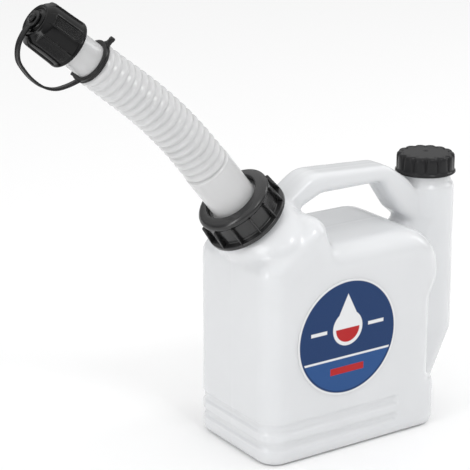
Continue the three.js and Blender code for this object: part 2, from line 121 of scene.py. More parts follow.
def studio_surround():
    """A white ceiling that fades to grey walls, so that upright sides get some shade."""
    made = bpy.data.worlds.new("studio")
    made.use_nodes = True
    nodes, links = made.node_tree.nodes, made.node_tree.links
    direction = nodes.new("ShaderNodeTexCoord")
    split_axes = nodes.new("ShaderNodeSeparateXYZ")
    fade = nodes.new("ShaderNodeMapRange")
    fade.interpolation_type = "SMOOTHSTEP"
    links.new(direction.outputs["Generated"], split_axes.inputs[0])
    links.new(split_axes.outputs["Z"], fade.inputs["Value"])
    fade.inputs["From Min"].default_value = 0.0
    fade.inputs["From Max"].default_value = SKY_FULL_AT
    fade.inputs["To Min"].default_value = WALL_LIGHT
    fade.inputs["To Max"].default_value = SKY_LIGHT
    links.new(fade.outputs["Result"], nodes["Background"].inputs["Strength"])
    nodes["Background"].inputs["Color"].default_value = (1, 1, 1, 1)
    return made


bpy.context.scene.world = studio_surround()
bpy.context.scene.view_settings.view_transform = "Standard"

FLOOR_HALF, FLOOR_GREY = 30, 0.93
corners = [(-1, -1), (1, -1), (1, 1), (-1, 1)]
floor_data = bpy.data.meshes.new("floor")
floor_data.from_pydata([(x * FLOOR_HALF, y * FLOOR_HALF, 0) for x, y in corners], [], [(0, 1, 2, 3)])
floor = bpy.data.objects.new("floor", floor_data)
bpy.context.scene.collection.objects.link(floor)
floor_paint = bpy.data.materials.new("floor_paint")
floor_paint.use_nodes = True
floor_shader = floor_paint.node_tree.nodes["Principled BSDF"]
floor_shader.inputs["Base Color"].default_value = (FLOOR_GREY, FLOOR_GREY, FLOOR_GREY, 1)
floor_shader.inputs["Roughness"].default_value = 0.9
floor_data.materials.append(floor_paint)
floor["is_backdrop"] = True
print("lamps:", len(bpy.data.lights), "and a floor", 2 * FLOOR_HALF, "m wide")

# %% [markdown]
# Moulded plastic is never quite even. Its skin has a very fine grain, and the melt leaves
# faint cloudy flow marks. Each material could hold its own nodes for this, but one node
# group that all of them share keeps them alike, and each plastic sets its own values.

# %% Node group: moulded skin
def moulded_skin_group():
    """Colour, roughness and normal of a moulded skin, from object space noise."""
    group = bpy.data.node_groups.new("moulded_skin", "ShaderNodeTree")
    socket = group.interface.new_socket
    for name, start in (("Grain Scale", 900.0), ("Grain Height", 0.2), ("Flow Scale", 28.0)):
        socket(name, in_out="INPUT", socket_type="NodeSocketFloat").default_value = start
    for name, start in (("Flow Amount", 0.04), ("Roughness", 0.4), ("Roughness Spread", 0.08)):
        socket(name, in_out="INPUT", socket_type="NodeSocketFloat").default_value = start
    socket("Base", in_out="INPUT", socket_type="NodeSocketColor").default_value = (0.5, 0.5, 0.5, 1)
    socket("Colour", in_out="OUTPUT", socket_type="NodeSocketColor")
    socket("Roughness", in_out="OUTPUT", socket_type="NodeSocketFloat")
    socket("Normal", in_out="OUTPUT", socket_type="NodeSocketVector")
    nodes, links = group.nodes, group.links
    given = nodes.new("NodeGroupInput")
    result = nodes.new("NodeGroupOutput")
    place = nodes.new("ShaderNodeTexCoord")

    grain = nodes.new("ShaderNodeTexNoise")
    grain.inputs["Detail"].default_value = 3
    links.new(place.outputs["Object"], grain.inputs["Vector"])
    links.new(given.outputs["Grain Scale"], grain.inputs["Scale"])
    flow = nodes.new("ShaderNodeTexNoise")
    flow.inputs["Detail"].default_value = 4
    flow.inputs["Distortion"].default_value = 0.7
    links.new(place.outputs["Object"], flow.inputs["Vector"])
    links.new(given.outputs["Flow Scale"], flow.inputs["Scale"])

    around_one = nodes.new("ShaderNodeMath")
    around_one.operation = "MULTIPLY_ADD"
    centred = nodes.new("ShaderNodeMath")
    centred.operation = "SUBTRACT"
    centred.inputs[1].default_value = 0.5
    links.new(flow.outputs["Fac"], centred.inputs[0])
    links.new(centred.outputs[0], around_one.inputs[0])
    links.new(given.outputs["Flow Amount"], around_one.inputs[1])
    around_one.inputs[2].default_value = 1.0
    tint = nodes.new("ShaderNodeVectorMath")
    tint.operation = "SCALE"
    links.new(given.outputs["Base"], tint.inputs[0])
    links.new(around_one.outputs[0], tint.inputs["Scale"])
    links.new(tint.outputs["Vector"], result.inputs["Colour"])

    rough = nodes.new("ShaderNodeMath")
    rough.operation = "MULTIPLY_ADD"
    links.new(centred.outputs[0], rough.inputs[0])
    links.new(given.outputs["Roughness Spread"], rough.inputs[1])
    links.new(given.outputs["Roughness"], rough.inputs[2])
    links.new(rough.outputs[0], result.inputs["Roughness"])

    bump = nodes.new("ShaderNodeBump")
    bump.inputs["Distance"].default_value = 0.00005
    links.new(given.outputs["Grain Height"], bump.inputs["Strength"])
    links.new(grain.outputs["Fac"], bump.inputs["Height"])
    links.new(bump.outputs["Normal"], result.inputs["Normal"])
    return group


MOULDED_SKIN = moulded_skin_group()
print("moulded_skin:", len(MOULDED_SKIN.nodes), "nodes")


def plastic(name, base, rough, **values):
    """A material with the moulded skin in its shader; returns both."""
    made = bpy.data.materials.new(name)
    made.use_nodes = True
    nodes, links = made.node_tree.nodes, made.node_tree.links
    shader = nodes["Principled BSDF"]
    skin = nodes.new("ShaderNodeGroup")
    skin.node_tree = MOULDED_SKIN
    skin.inputs["Base"].default_value = (*base, 1)
    skin.inputs["Roughness"].default_value = rough
    for key, value in values.items():
        skin.inputs[key.replace("_", " ").title()].default_value = value
    links.new(skin.outputs["Colour"], shader.inputs["Base Color"])
    links.new(skin.outputs["Roughness"], shader.inputs["Roughness"])
    links.new(skin.outputs["Normal"], shader.inputs["Normal"])
    return made, shader


# %% [markdown]
# The bottle and the spout are natural polyethylene. Light goes a few millimetres into it
# and comes out again elsewhere, so it looks milky. A glass shader with a cloudy inside
# could show that, but it is slow and noisy; subsurface scattering gives the same look.

# %% Milky plastics
def milky(name, base, rough, gloss, depth, weight, **values):
    """A milky plastic: depth in metres is how far the light spreads inside."""
    made, shader = plastic(name, base, rough, **values)
    shader.inputs["Subsurface Weight"].default_value = weight
    shader.inputs["Subsurface Radius"].default_value = (1.0, 1.0, 1.0)
    shader.inputs["Subsurface Scale"].default_value = depth
    shader.inputs["Specular IOR Level"].default_value = gloss
    return made


bottle_plastic = milky(
    "bottle_plastic", (0.735, 0.745, 0.758), rough=0.22, gloss=0.6, depth=0.006, weight=0.5,
    flow_amount=0.06, grain_height=0.12,
)
spout_plastic = milky(
    "spout_plastic", (0.62, 0.622, 0.626), rough=0.22, gloss=0.6, depth=0.004, weight=0.5,
    flow_amount=0.08, grain_height=0.15,
)
print("milky plastics:", bottle_plastic.name, spout_plastic.name)

# %% [markdown]
# The closures and the tether are black plastic, glossy on the caps and satin on the
# collar. The gasket is dull rubber and the liners are pale foam. They all take no light
# inside, so a plain shader with its own colour, roughness and gloss is enough.

# %% Dark plastics, rubber and foam
def solid_colour(name, base, rough, gloss, **values):
    """A plastic that light does not enter."""
    made, shader = plastic(name, base, rough, **values)
    shader.inputs["Specular IOR Level"].default_value = gloss
    return made


collar_plastic = solid_colour(
    "collar_plastic", (0.016, 0.016, 0.0165), rough=0.24, gloss=0.55,
    flow_amount=0.5, grain_height=0.35,
)
cap_plastic = solid_colour(
    "cap_plastic", (0.004, 0.004, 0.0043), rough=0.15, gloss=0.22,
    flow_amount=0.5, grain_height=0.1,
)
oil_cap_plastic = solid_colour(
    "oil_cap_plastic", (0.022, 0.022, 0.023), rough=0.22, gloss=0.14,
    flow_amount=0.5, grain_height=0.1,
)
tether_plastic = solid_colour(
    "tether_plastic", (0.008, 0.008, 0.0085), rough=0.3, gloss=0.35,
    flow_amount=0.5, grain_height=0.2,
)
gasket_rubber = solid_colour(
    "gasket_rubber", (0.03, 0.03, 0.03), rough=0.8, gloss=0.3,
    flow_amount=0.4, grain_height=0.8,
)
liner_foam = solid_colour(
    "liner_foam", (0.8, 0.8, 0.79), rough=0.85, gloss=0.4,
    grain_scale=1600, grain_height=1.0,
)
print("materials so far:", len(bpy.data.materials))

# %% [markdown]
# Most pieces are skinned from rings of points. They could be modelled by hand or built
# from modifiers, but a ring is easy to place and to turn, and two rings with the same
# number of points always join into clean four-sided faces. All sizes below are in mm.

# %% New pieces and skins
def smooth(data):
    for face in data.polygons:
        face.use_smooth = True


def new_piece(name, points, faces, material=None):
    """A smooth mesh in the scene, from points in mm."""
    data = bpy.data.meshes.new(name)
    data.from_pydata([Vector(p) * MM for p in points], [], faces)
    data.validate()
    data.update()
    smooth(data)
    made = bpy.data.objects.new(name, data)
    bpy.context.scene.collection.objects.link(made)
    if material:
        data.materials.append(material)
    return made


def skin_rings(rings, closed_round=False):
    """Joins each ring to the next. The ends are capped, or the last meets the first."""
    count = len(rings[0])
    points = [tuple(p) for ring in rings for p in ring]
    faces = []
    for k in range(len(rings) - (0 if closed_round else 1)):
        a0, b0 = k * count, ((k + 1) % len(rings)) * count
        for i in range(count):
            j = (i + 1) % count
            faces.append((a0 + i, a0 + j, b0 + j, b0 + i))
    if not closed_round:
        faces.append(tuple(reversed(range(count))))
        last = (len(rings) - 1) * count
        faces.append(tuple(range(last, last + count)))
    return points, faces


def merged(*parts):
    """Several skins as one list of points and one list of faces."""
    points, faces = [], []
    for more_points, more_faces in parts:
        start = len(points)
        points += list(more_points)
        faces += [tuple(i + start for i in face) for face in more_faces]
    return points, faces


print("helpers: smooth, new_piece, skin_rings, merged")

# %% Turned and leaning forms
def leaning(x, z, lean):
    """A frame at x and z whose upward axis leans towards the spout's side."""
    return Matrix.Translation((x, 0, z)) @ Matrix.Rotation(-lean, 4, "Y")


def oval(half_x, half_y, z, count=64):
    spokes = [2 * math.pi * i / count for i in range(count)]
    return [Vector((half_x * math.cos(a), half_y * math.sin(a), z)) for a in spokes]


def turned(profile, segments, place, shape=None):
    """Turns a closed profile of radii and heights. A shape adds to the radius by angle."""
    rings = []
    for r, z, *more in profile:
        ring = []
        for i in range(segments):
            angle = 2 * math.pi * i / segments
            reach = r + (shape(angle, *more) if shape else 0)
            ring.append(place @ Vector((reach * math.cos(angle), reach * math.sin(angle), z)))
        rings.append(ring)
    return skin_rings(rings, closed_round=True)


def rounded(profile, radius, steps=3):
    """The closed profile with each corner cut back by the radius and curved."""
    count = len(profile)
    out = []
    for i, (r, z) in enumerate(profile):
        here = Vector((r, z))
        to_before = Vector(profile[i - 1]) - here
        to_after = Vector(profile[(i + 1) % count]) - here
        cut = min(radius, to_before.length * 0.4, to_after.length * 0.4)
        first = here + to_before.normalized() * cut
        last = here + to_after.normalized() * cut
        for k in range(steps + 1):
            t = k / steps
            out.append(tuple(first.lerp(here, t).lerp(here.lerp(last, t), t)))
    return out


print("helpers: leaning, oval, turned, rounded")

# %% [markdown]
# The bottle is blown in a mould in one piece, so its parts flow into each other. Joining
# forms with a boolean would leave sharp creases. Here the slab, foot, column, neck dome
# and grip are separate closed forms, a voxel remesh welds them into one skin, and
# relaxing that skin rounds the creases as blowing does.

# %% Bottle sizes
BODY_X, BODY_Y, EDGE = 65.0, 40.0, 13.0
SADDLE_Z, SHOULDER_R, WAIST = 128.5, 26.0, 5.5
NECK_X, NECK_Z, NECK_TILT = -53.7, 144.3, math.radians(38.5)
NECK_R, NECK_H = 19.6, 10.4
COLUMN_X, COLUMN_Z = 80.0, 146.5
OIL_NECK_R, OIL_NECK_H = 15.8, 14.4
GRIP_Y, GRIP_EDGE = 12, 4.2
NECK_ROOT, OIL_NECK_ROOT = -8, -4
SLANT_BELOW_NECK = 11
NECK = leaning(NECK_X, NECK_Z, NECK_TILT)
OIL_NECK = Matrix.Translation((COLUMN_X, 0, COLUMN_Z))


def slant_at(x):
    """Height of the body's slanted top, which lies square to the neck's axis."""
    low_x = NECK_X + SLANT_BELOW_NECK * math.sin(NECK_TILT)
    low_z = NECK_Z - SLANT_BELOW_NECK * math.cos(NECK_TILT)
    return low_z + math.tan(NECK_TILT) * (x - low_x)


# Corners of the two outlines, seen from the front: x, z and the corner's radius.
BODY_OUTLINE = [
    (-BODY_X, 0, 9), (BODY_X, 0, 9), (BODY_X, 26, 6), (BODY_X - WAIST, 35, 4),
    (BODY_X - WAIST, 84, 4), (BODY_X, 95, 6), (BODY_X, SADDLE_Z, SHOULDER_R),
    (-15.5, SADDLE_Z, 4), (-23.5, slant_at(-23.5), 10), (-BODY_X, slant_at(-BODY_X), 10),
]
GRIP_OUTLINE = [
    (-41.5, 138.6, 3), (-27.5, 128.6, 3), (-22.5, 146.6, 3), (-7, 153.6, 8), (38, 153.6, 5),
    (53, 131.5, 6), (66, 121.5, 3), (74, 136, 3), (58, 153, 8), (43, 163, 12),
    (-14, 166.3, 20), (-36, 151.3, 14),
]
print("body, mm:", 2 * BODY_X, "wide and", 2 * BODY_Y, "deep")


# %% Rounded outlines and slabs
def rounded_outline(corners, inset, steps):
    """The outline moved inwards by the inset, with each corner as an arc of equal steps."""
    count = len(corners)
    edges = []
    for i in range(count):
        start = Vector(corners[i][:2])
        along = (Vector(corners[(i + 1) % count][:2]) - start).normalized()
        inward = Vector((-along.y, along.x))
        edges.append((start + inward * inset, along, inward))
    out = []
    for i in range(count):
        start0, along0, inward0 = edges[i - 1]
        start1, along1, _ = edges[i]
        turn = along0.cross(along1)
        vertex = start0 + along0 * ((start1 - start0).cross(along1) / turn)
        angle = math.atan2(turn, along0.dot(along1))
        side = 1 if angle > 0 else -1
        radius = max(corners[i][2] - inset, 0.4) if side > 0 else corners[i][2] + inset
        tangent = radius * math.tan(abs(angle) / 2)
        centre = vertex - along0 * tangent + inward0 * (radius * side)
        spoke = inward0 * (-radius * side)
        for k in range(steps + 1):
            a = angle * k / steps
            c, s = math.cos(a), math.sin(a)
            out.append(centre + Vector((c * spoke.x - s * spoke.y, s * spoke.x + c * spoke.y)))
    return out


def rounded_slab(corners, half_depth, rounding, corner_steps=9, edge_steps=9):
    """A slab with the outline in front view and a quarter round along both of its rims."""
    front = []
    for k in range(edge_steps + 1):
        t = k / edge_steps * math.pi / 2
        y = -half_depth + rounding * (1 - math.cos(t))
        inset = rounding * (1 - math.sin(t))
        front.append([(p.x, y, p.y) for p in rounded_outline(corners, inset, corner_steps)])
    back = [[(x, -y, z) for x, y, z in ring] for ring in reversed(front)]
    return skin_rings(front + back)


def level_rectangle(x, y, radius, z):
    """A rectangle with rounded corners, seen from above, at one height."""
    corners = [(-x, -y, radius), (x, -y, radius), (x, y, radius), (-x, y, radius)]
    return [(p.x, p.y, z) for p in rounded_outline(corners, 0, 9)]


def wrapped(web_x, web_r, nose_x, nose_r, z, count=64):
    """A ring round two circles of one height, as a belt lies round two pulleys."""
    ring = []
    for i in range(count):
        a = 2 * math.pi * i / count
        c, s = math.cos(a), math.sin(a)
        x, r = max((web_x, web_r), (nose_x, nose_r), key=lambda o: o[0] * c + o[1])
        ring.append((x + r * c, r * s, z))
    return ring


def rod(radius, low, high, place):
    return skin_rings([[place @ p for p in oval(radius, radius, z)] for z in (low, high)])


print("helpers: rounded_outline, rounded_slab, level_rectangle, wrapped, rod")

# %% Forms that the bottle is welded from
# Foot: height and how far it draws in. Column: height, then centre and radius of the web
# that joins the body and of the round nose. Dome: height on the neck's axis, half width
# and half depth.
FOOT_ROWS = [(30, 0.4), (6, 0), (3.4, 0.5), (1.6, 1.5), (0.5, 3.0), (0, 4.9)]
COLUMN_ROWS = [
    (146.5, 80, 14.8, 80, 15.8), (145.9, 80, 16.3, 80, 17.1), (144.6, 80, 16.3, 80, 17.9),
    (141.5, 80, 16.3, 80, 18.3), (126.5, 76, 16.3, 80, 18.3), (106.5, 65, 17.3, 80, 18.3),
    (88.5, 58, 18.3, 80.4, 18.3), (51, 58, 18.3, 80.8, 18.3), (17, 52, 15.8, 67.5, 16.3),
    (8, 46, 11.3, 60, 11.8), (3.9, 40, 9.3, 48, 9.3),
]
DOME_ROWS = [
    (-1.5, 21.2, 21.2), (-3.2, 22.3, 24), (-6, 23.2, 29.5),
    (-9, 23.8, 33.5), (-12.5, 24, 36), (-20, 24, 36.5),
]
foot_form = skin_rings([
    level_rectangle(BODY_X - drawn_in, BODY_Y - drawn_in, EDGE - drawn_in, z)
    for z, drawn_in in FOOT_ROWS
])
column_form = skin_rings([wrapped(a, b, c, d, z) for z, a, b, c, d in COLUMN_ROWS])
dome_form = skin_rings([[NECK @ p for p in oval(x, y, z)] for z, x, y in DOME_ROWS])
bottle_forms = merged(
    rounded_slab(BODY_OUTLINE, BODY_Y, EDGE), foot_form, column_form, dome_form,
    rounded_slab(GRIP_OUTLINE, GRIP_Y, GRIP_EDGE), rod(NECK_R, NECK_ROOT, NECK_H, NECK),
    rod(OIL_NECK_R, OIL_NECK_ROOT, OIL_NECK_H, OIL_NECK),
)
print("bottle forms:", len(bottle_forms[0]), "points")


# %% Weld and relax
def welded(source, voxel):
    """Wraps the overlapping closed forms of the piece in one skin."""
    remesh = source.modifiers.new("weld", "REMESH")
    remesh.mode = "VOXEL"
    remesh.voxel_size = voxel * MM
    evaluated = source.evaluated_get(bpy.context.evaluated_depsgraph_get())
    shape = bpy.data.meshes.new_from_object(evaluated)
    source.modifiers.clear()
    old = source.data
    source.data = shape
    bpy.data.meshes.remove(old)


def relax(data, rounds, weight):
    """Moves each point half of the way to the middle of its neighbours, by its weight."""
    count = len(data.vertices)
    place = np.empty(count * 3)
    data.vertices.foreach_get("co", place)
    place = place.reshape(-1, 3)
    ends = np.empty(len(data.edges) * 2, int)
    data.edges.foreach_get("vertices", ends)
    a, b = ends.reshape(-1, 2).T
    share = np.bincount(a, minlength=count) + np.bincount(b, minlength=count)
    for _ in range(rounds):
        total = np.zeros_like(place)
        for axis in range(3):
            from_b = np.bincount(a, place[b, axis], count)
            total[:, axis] = from_b + np.bincount(b, place[a, axis], count)
        move = total / share[:, None] - place
        place += move * (0.5 * weight[:, None])
    data.vertices.foreach_set("co", place.ravel())
    data.update()
    return place


def step_between(low, high, value):
    """0 below the low value, 1 above the high one, and a smooth step between."""
    t = np.clip((value - low) / (high - low), 0, 1)
    return t * t * (3 - 2 * t)


VOXEL, EVEN_ROUNDS, CREASE_ROUNDS = 1.0, 5, 14
bottle_skin = new_piece("bottle_skin", *bottle_forms, bottle_plastic)
welded(bottle_skin, VOXEL)
skin = bottle_skin.data
place = relax(skin, EVEN_ROUNDS, np.ones(len(skin.vertices)))
print("bottle_skin:", len(skin.polygons), "faces")

# %% Softer creases
# Centre and reach of the creases that blowing rounds most: round the dome, at both ends
# of the grip, and where the column joins the body.
SOFT_CREASES = (
    ((-45, 0, 134), 42), ((-20, -30, 133), 20), ((-20, 30, 133), 20), ((-25, 0, 150), 20),
    ((55, 0, 133), 22), ((68, 0, 145), 12), ((66, -20, 118), 14), ((66, 20, 118), 14),
    ((62, -20, 88), 14), ((62, 20, 88), 14), ((62, -20, 30), 14), ((62, 20, 30), 14),
)
NECK_KEPT_ABOVE = -2.5
COLUMN_KEPT_ABOVE, COLUMN_KEPT_BEYOND = 144, 66


def near(place, centre, reach):
    """1 up to 0.3 of the reach from the centre, falling to 0 at 1.3 of it."""
    gap = np.linalg.norm(place - np.array(centre) * MM, axis=1) / (reach * MM)
    return step_between(0, 1, 1.3 - gap)


neck_axis = np.array((-math.sin(NECK_TILT), 0, math.cos(NECK_TILT)))
along_neck = (place / MM - np.array((NECK_X, 0, NECK_Z))) @ neck_axis
soft = np.zeros(len(place))
for centre, reach in SOFT_CREASES:
    soft = np.maximum(soft, near(place, centre, reach))
soft[along_neck > NECK_KEPT_ABOVE] = 0
high_up = place[:, 2] > COLUMN_KEPT_ABOVE * MM
soft[high_up & (place[:, 0] > COLUMN_KEPT_BEYOND * MM)] = 0
place = relax(skin, CREASE_ROUNDS, soft)
print("relaxed more:", int((soft > 0).sum()), "of", len(place), "points")

# %% [markdown]
# Two shallow grooves run round the foot on the spout's side and stop on the two broad
# faces. A fine raised line, where the halves of the mould meet, runs up the spout's side
# and along the top. A bump in the material would not show at the silhouette, so both are
# real shape. They are made after the weld, so that relaxing does not wash them out.

# %% Grooves and parting line
GROOVES = ((10.8, 15.0), (21.2, 26.2))
GROOVE_DEPTH, GROOVE_FADES, GROOVE_ENDS = 1.1, 28, 32
SEAM_WIDTH, SEAM_HEIGHT, SEAM_LOW, SEAM_END, SEAM_NECK_END = 0.9, 0.12, 3, 60, -3

x, y, z = (place / MM).T
out_x = x - np.clip(x, -(BODY_X - EDGE), BODY_X - EDGE)
out_y = y - np.clip(y, -(BODY_Y - EDGE), BODY_Y - EDGE)
outward = np.stack((out_x, out_y), 1)
reach = np.maximum(np.linalg.norm(outward, axis=1), 1e-6)
side = step_between(EDGE - 4, EDGE - 2.5, reach)
press = np.zeros(len(x))
for low, high in GROOVES:
    press += step_between(low - 1, low + 0.8, z) * (1 - step_between(high - 0.8, high + 1.2, z))
press *= side * (1 - step_between(GROOVE_FADES, GROOVE_ENDS, x)) * GROOVE_DEPTH
place[:, :2] -= outward / reach[:, None] * press[:, None] * MM
skin.vertices.foreach_set("co", place.ravel())
skin.update()

on_seam = (z > SEAM_LOW) & (along_neck < SEAM_NECK_END) & (x < SEAM_END)
seam = np.exp(-((y / SEAM_WIDTH) ** 2)) * on_seam
normals = np.empty(len(place) * 3)
skin.vertices.foreach_get("normal", normals)
place += normals.reshape(-1, 3) * (seam * SEAM_HEIGHT * MM)[:, None]
skin.vertices.foreach_set("co", place.ravel())
skin.update()
smooth(skin)
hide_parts("bottle_body")
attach(bottle_skin, "bottle")
print("deepest groove, mm:", round(float(press.max()), 2))

# %% [markdown]
# Each neck carries a screw thread. It could be cut with a screw modifier, but here it is
# a small ridge swept along a helix, which makes it easy to let the ridge fade out at both
# ends, so that the closure can start on it.

# %% Threads
THREAD_LEAD, RIDGE_STEPS_PER_TURN = 4, 48


def thread(name, radius, low, turns, frame_matrix, height=0.9):
    steps = int(turns * RIDGE_STEPS_PER_TURN)
    rings = []
    for k in range(steps + 1):
        t = k / steps
        angle = 2 * math.pi * turns * t
        fade = min(1, t * turns * 6, (1 - t) * turns * 6)
        middle = low + THREAD_LEAD * turns * t
        ring = []
        for out, up in ((-0.3, -1.1), (height * fade, -0.35), (height * fade, 0.35), (-0.3, 1.1)):
            r = radius + out
            ring.append(frame_matrix @ Vector((r * math.cos(angle), r * math.sin(angle), middle + up)))
        rings.append(ring)
    return new_piece(name, *skin_rings(rings), bottle_plastic)


neck_thread = thread("neck_thread", NECK_R, 2.2, 1.6, NECK)
oil_neck_thread = thread("oil_neck_thread", OIL_NECK_R, 7.2, 1.4, OIL_NECK, 0.6)
for piece in (neck_thread, oil_neck_thread):
    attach(piece, "bottle")
print("threads:", len(neck_thread.data.polygons) + len(oil_neck_thread.data.polygons), "faces")

# %% [markdown]
# The collar is a deep ring nut, moulded in one piece. Its rim is wide, its shoulder is
# rounded, and thin fins on its side give the fingers a hold. The body of the nut is one
# turned profile; each fin is a short stack of outlines set into it, which is lighter than
# a boolean and leaves a clean edge.

# %% Spout collar
COLLAR_PROFILE = rounded([
    (20.9, 0), (25.8, 0), (25.8, 2.4), (22.3, 3.0), (22.5, 13.6), (23.3, 14.9), (23.0, 16.6),
    (21.4, 17.9), (18.6, 18.7), (17.0, 18.95), (16.35, 18.4), (16.3, 15.2), (14.8, 14.8),
    (20.9, 14.3),
], 0.6)
FINS, FIN_ROOT, FIN_REACH, FIN_LEAN = 12, 21.8, 24.7, 1.1
FIN_LOW, FIN_HIGH, FIN_HALF = 1.4, 14.0, 0.6


def fin(angle, frame_matrix):
    """A thin rib that stands on the side, leans out below and is rounded above."""
    turn = Matrix.Rotation(angle, 4, "Z")
    rings = []
    for z, reach, thin in (
        (FIN_LOW, FIN_REACH + FIN_LEAN, 1), (FIN_HIGH - 0.7, FIN_REACH, 1),
        (FIN_HIGH - 0.2, FIN_REACH - 0.25, 0.9), (FIN_HIGH, FIN_REACH - 0.8, 0.7),
    ):
        half, crest = FIN_HALF * thin, FIN_HALF * 0.55 * thin
        section = [
            (FIN_ROOT, -FIN_HALF), (reach - 0.3, -half), (reach, -crest),
            (reach, crest), (reach - 0.3, half), (FIN_ROOT, FIN_HALF),
        ]
        rings.append([frame_matrix @ turn @ Vector((r, across, z)) for r, across in section])
    return skin_rings(rings)


collar_parts = [turned(COLLAR_PROFILE, 144, NECK)]
collar_parts += [fin(2 * math.pi * (i + 0.5) / FINS, NECK) for i in range(FINS)]
collar = new_piece("collar", *merged(*collar_parts), collar_plastic)
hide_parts("spout_collar")
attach(collar, "neck_collar")
print("collar:", len(collar.data.polygons), "faces")

# %% [markdown]
# The spout is one soft tube. It is straight in the collar, then corrugated so that it can
# bend, and ends in a plain tip. It could be a curve with a bevel, but one profile carried
# along a bent centreline gives the flange, the ribs and the tip in the same way.

# %% Spout centreline
BEND_START, BEND_LENGTH, BEND = 54.0, 60.0, math.radians(13.1)
RIB_START, RIBS, PITCH, TIP_LENGTH, RING_SEAT = 45.3, 19, 5.2, 39.5, 1.8
RIBS_END = RIB_START + RIBS * PITCH
SPOUT_END = RIBS_END + TIP_LENGTH
RING_AT = RIBS_END + RING_SEAT


def spout_place(distance):
    """The frame of the centreline at a distance, in mm, from the collar's lower rim."""
    radius = BEND_LENGTH / BEND
    turn = min(max((distance - BEND_START) / BEND_LENGTH, 0), 1) * BEND
    before = min(distance, BEND_START)
    after = max(distance - BEND_START - BEND_LENGTH, 0)
    lean = NECK_TILT + turn
    x = -before * math.sin(NECK_TILT) + radius * (math.cos(lean) - math.cos(NECK_TILT))
    z = before * math.cos(NECK_TILT) + radius * (math.sin(lean) - math.sin(NECK_TILT))
    return leaning(NECK_X + x - after * math.sin(lean), NECK_Z + z + after * math.cos(lean), lean)


print("spout tip, mm:", [round(v, 1) for v in spout_place(SPOUT_END).translation])

# %% Spout tube
FLANGE_Z, FLANGE_R = 12.5, 19.9
TUBE_R, TIP_R, TIP_BORE = 14.1, 10.2, 8.9
CREST_R, CREST_TAPER, RIB_DEPTH, RIB_POINTS = 13.9, 1.2, 1.1, 10

outer_rows = [(FLANGE_Z + z, r) for z, r in (
    (0, FLANGE_R - 0.5), (0.1, FLANGE_R), (1.4, FLANGE_R), (1.5, FLANGE_R - 0.5), (1.5, TUBE_R + 0.2),
)]
outer_rows += [(s, TUBE_R) for s in (14.3, 20, 26, 32, 38, 42, 44, 44.9)]
for rib in range(RIBS):
    for k in range(RIB_POINTS):
        u = k / RIB_POINTS
        s = RIB_START + (rib + u) * PITCH
        crest = CREST_R - CREST_TAPER * (s - RIB_START) / (RIBS * PITCH)
        outer_rows.append((s, crest - RIB_DEPTH * (1 - math.sin(math.pi * u) ** 1.35)))
outer_rows += [(RIBS_END + z, r) for z, r in ((0, 11.5), (0.05, 11.2), (0.1, 10.4), (0.3, TIP_R))]
outer_rows += [(RIBS_END + z, TIP_R) for z in (8, 14, 20, 28)]
outer_rows += [(SPOUT_END - 0.6, TIP_R), (SPOUT_END - 0.1, TIP_R - 0.2), (SPOUT_END, TIP_R - 0.6)]
inner_rows = [
    (FLANGE_Z, 12.9), (RIB_START, 11.5), (RIB_START + 50, 11), (RIBS_END - 10, 10.3),
    (RIBS_END, 9.3), (SPOUT_END - 10, TIP_BORE), (SPOUT_END, TIP_BORE),
]


def spout_rings(rows, count=80):
    return [[spout_place(s) @ p for p in oval(r, r, 0, count)] for s, r in rows]


tube = skin_rings(spout_rings(outer_rows) + spout_rings(inner_rows[::-1]), closed_round=True)
spout = new_piece("spout", *tube, spout_plastic)
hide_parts("spout_tube")
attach(spout, "spout")
print("spout:", len(spout.data.polygons), "faces")

# %% [markdown]
# The spout's cap is turned with the fingertips, so six raised bands with fine knurling
# run down its side. A stud on top holds the tether's loop. The bands could be a
# displacement map, but the turned profile can carry them itself: each row of the profile
# says how strongly they stand out there.

# %% Spout cap
TIP = spout_place(SPOUT_END)
CAP_TOP, CAP_HEIGHT = 3.8, 24.6
CAP_RIM = CAP_TOP - CAP_HEIGHT
BANDS, BAND_TURN, BAND_RADIUS = 6, math.radians(-68), 13.4
BAND_HALF, BAND_HEIGHT, BAND_EDGE = 3.3, 0.55, 0.25
KNURLS, KNURL_HALF, KNURL_HEIGHT = 16, 2.6, 0.11
CAP_SEGMENTS = BANDS * KNURLS * 6


def cap_side(angle, bands):
    """How far the side stands out: raised bands with thin edge ridges and fine knurling."""
    if not bands:
        return 0
    turn = ((angle - BAND_TURN) * BANDS / (2 * math.pi) + 0.5) % 1
    off_middle = abs(turn - 0.5) * 2 * math.pi * BAND_RADIUS / BANDS
    band = 1 - min(max((off_middle - BAND_HALF) / 0.3, 0), 1)
    ridge = math.exp(-(((off_middle - BAND_HALF + 0.2) / 0.3) ** 2)) * BAND_EDGE
    knurl = 0
    if off_middle < KNURL_HALF:
        knurl = KNURL_HEIGHT * math.cos((angle - BAND_TURN) * BANDS * KNURLS)
    return bands * (band * BAND_HEIGHT + ridge + knurl)


# Radius, height from the rim or from the top, and strength of the bands.
CAP_FROM_RIM = [
    (11.5, 0.2, 0), (11.8, 0, 0), (13.8, 0, 0), (14.2, 0.4, 0), (14.2, 1.2, 0), (13.9, 1.6, 0),
    (13.45, 1.9, 0.3), (13.4, 2.4, 1), (13.2, 8, 1), (13.0, 15, 1),
]
CAP_FROM_TOP = [
    (12.8, -4.4, 1), (12.6, -3.6, 0.9), (12.2, -2.9, 0.5), (11.4, -2.0, 0.1), (10.4, -1.0, 0),
    (9.9, -0.6, 0), (9.7, -0.15, 0), (9.3, 0, 0), (8.6, 0, 0), (8.4, -0.15, 0), (8.2, -0.7, 0),
    (5.8, -0.7, 0), (5.5, -0.15, 0), (5.2, 0, 0), (2.3, 0, 0), (2.1, 0.3, 0), (2.1, 2.0, 0),
    (2.6, 2.2, 0), (2.6, 2.5, 0), (2.0, 2.75, 0), (0.02, 2.8, 0), (0.02, -2.0, 0), (11.5, -2.0, 0),
]
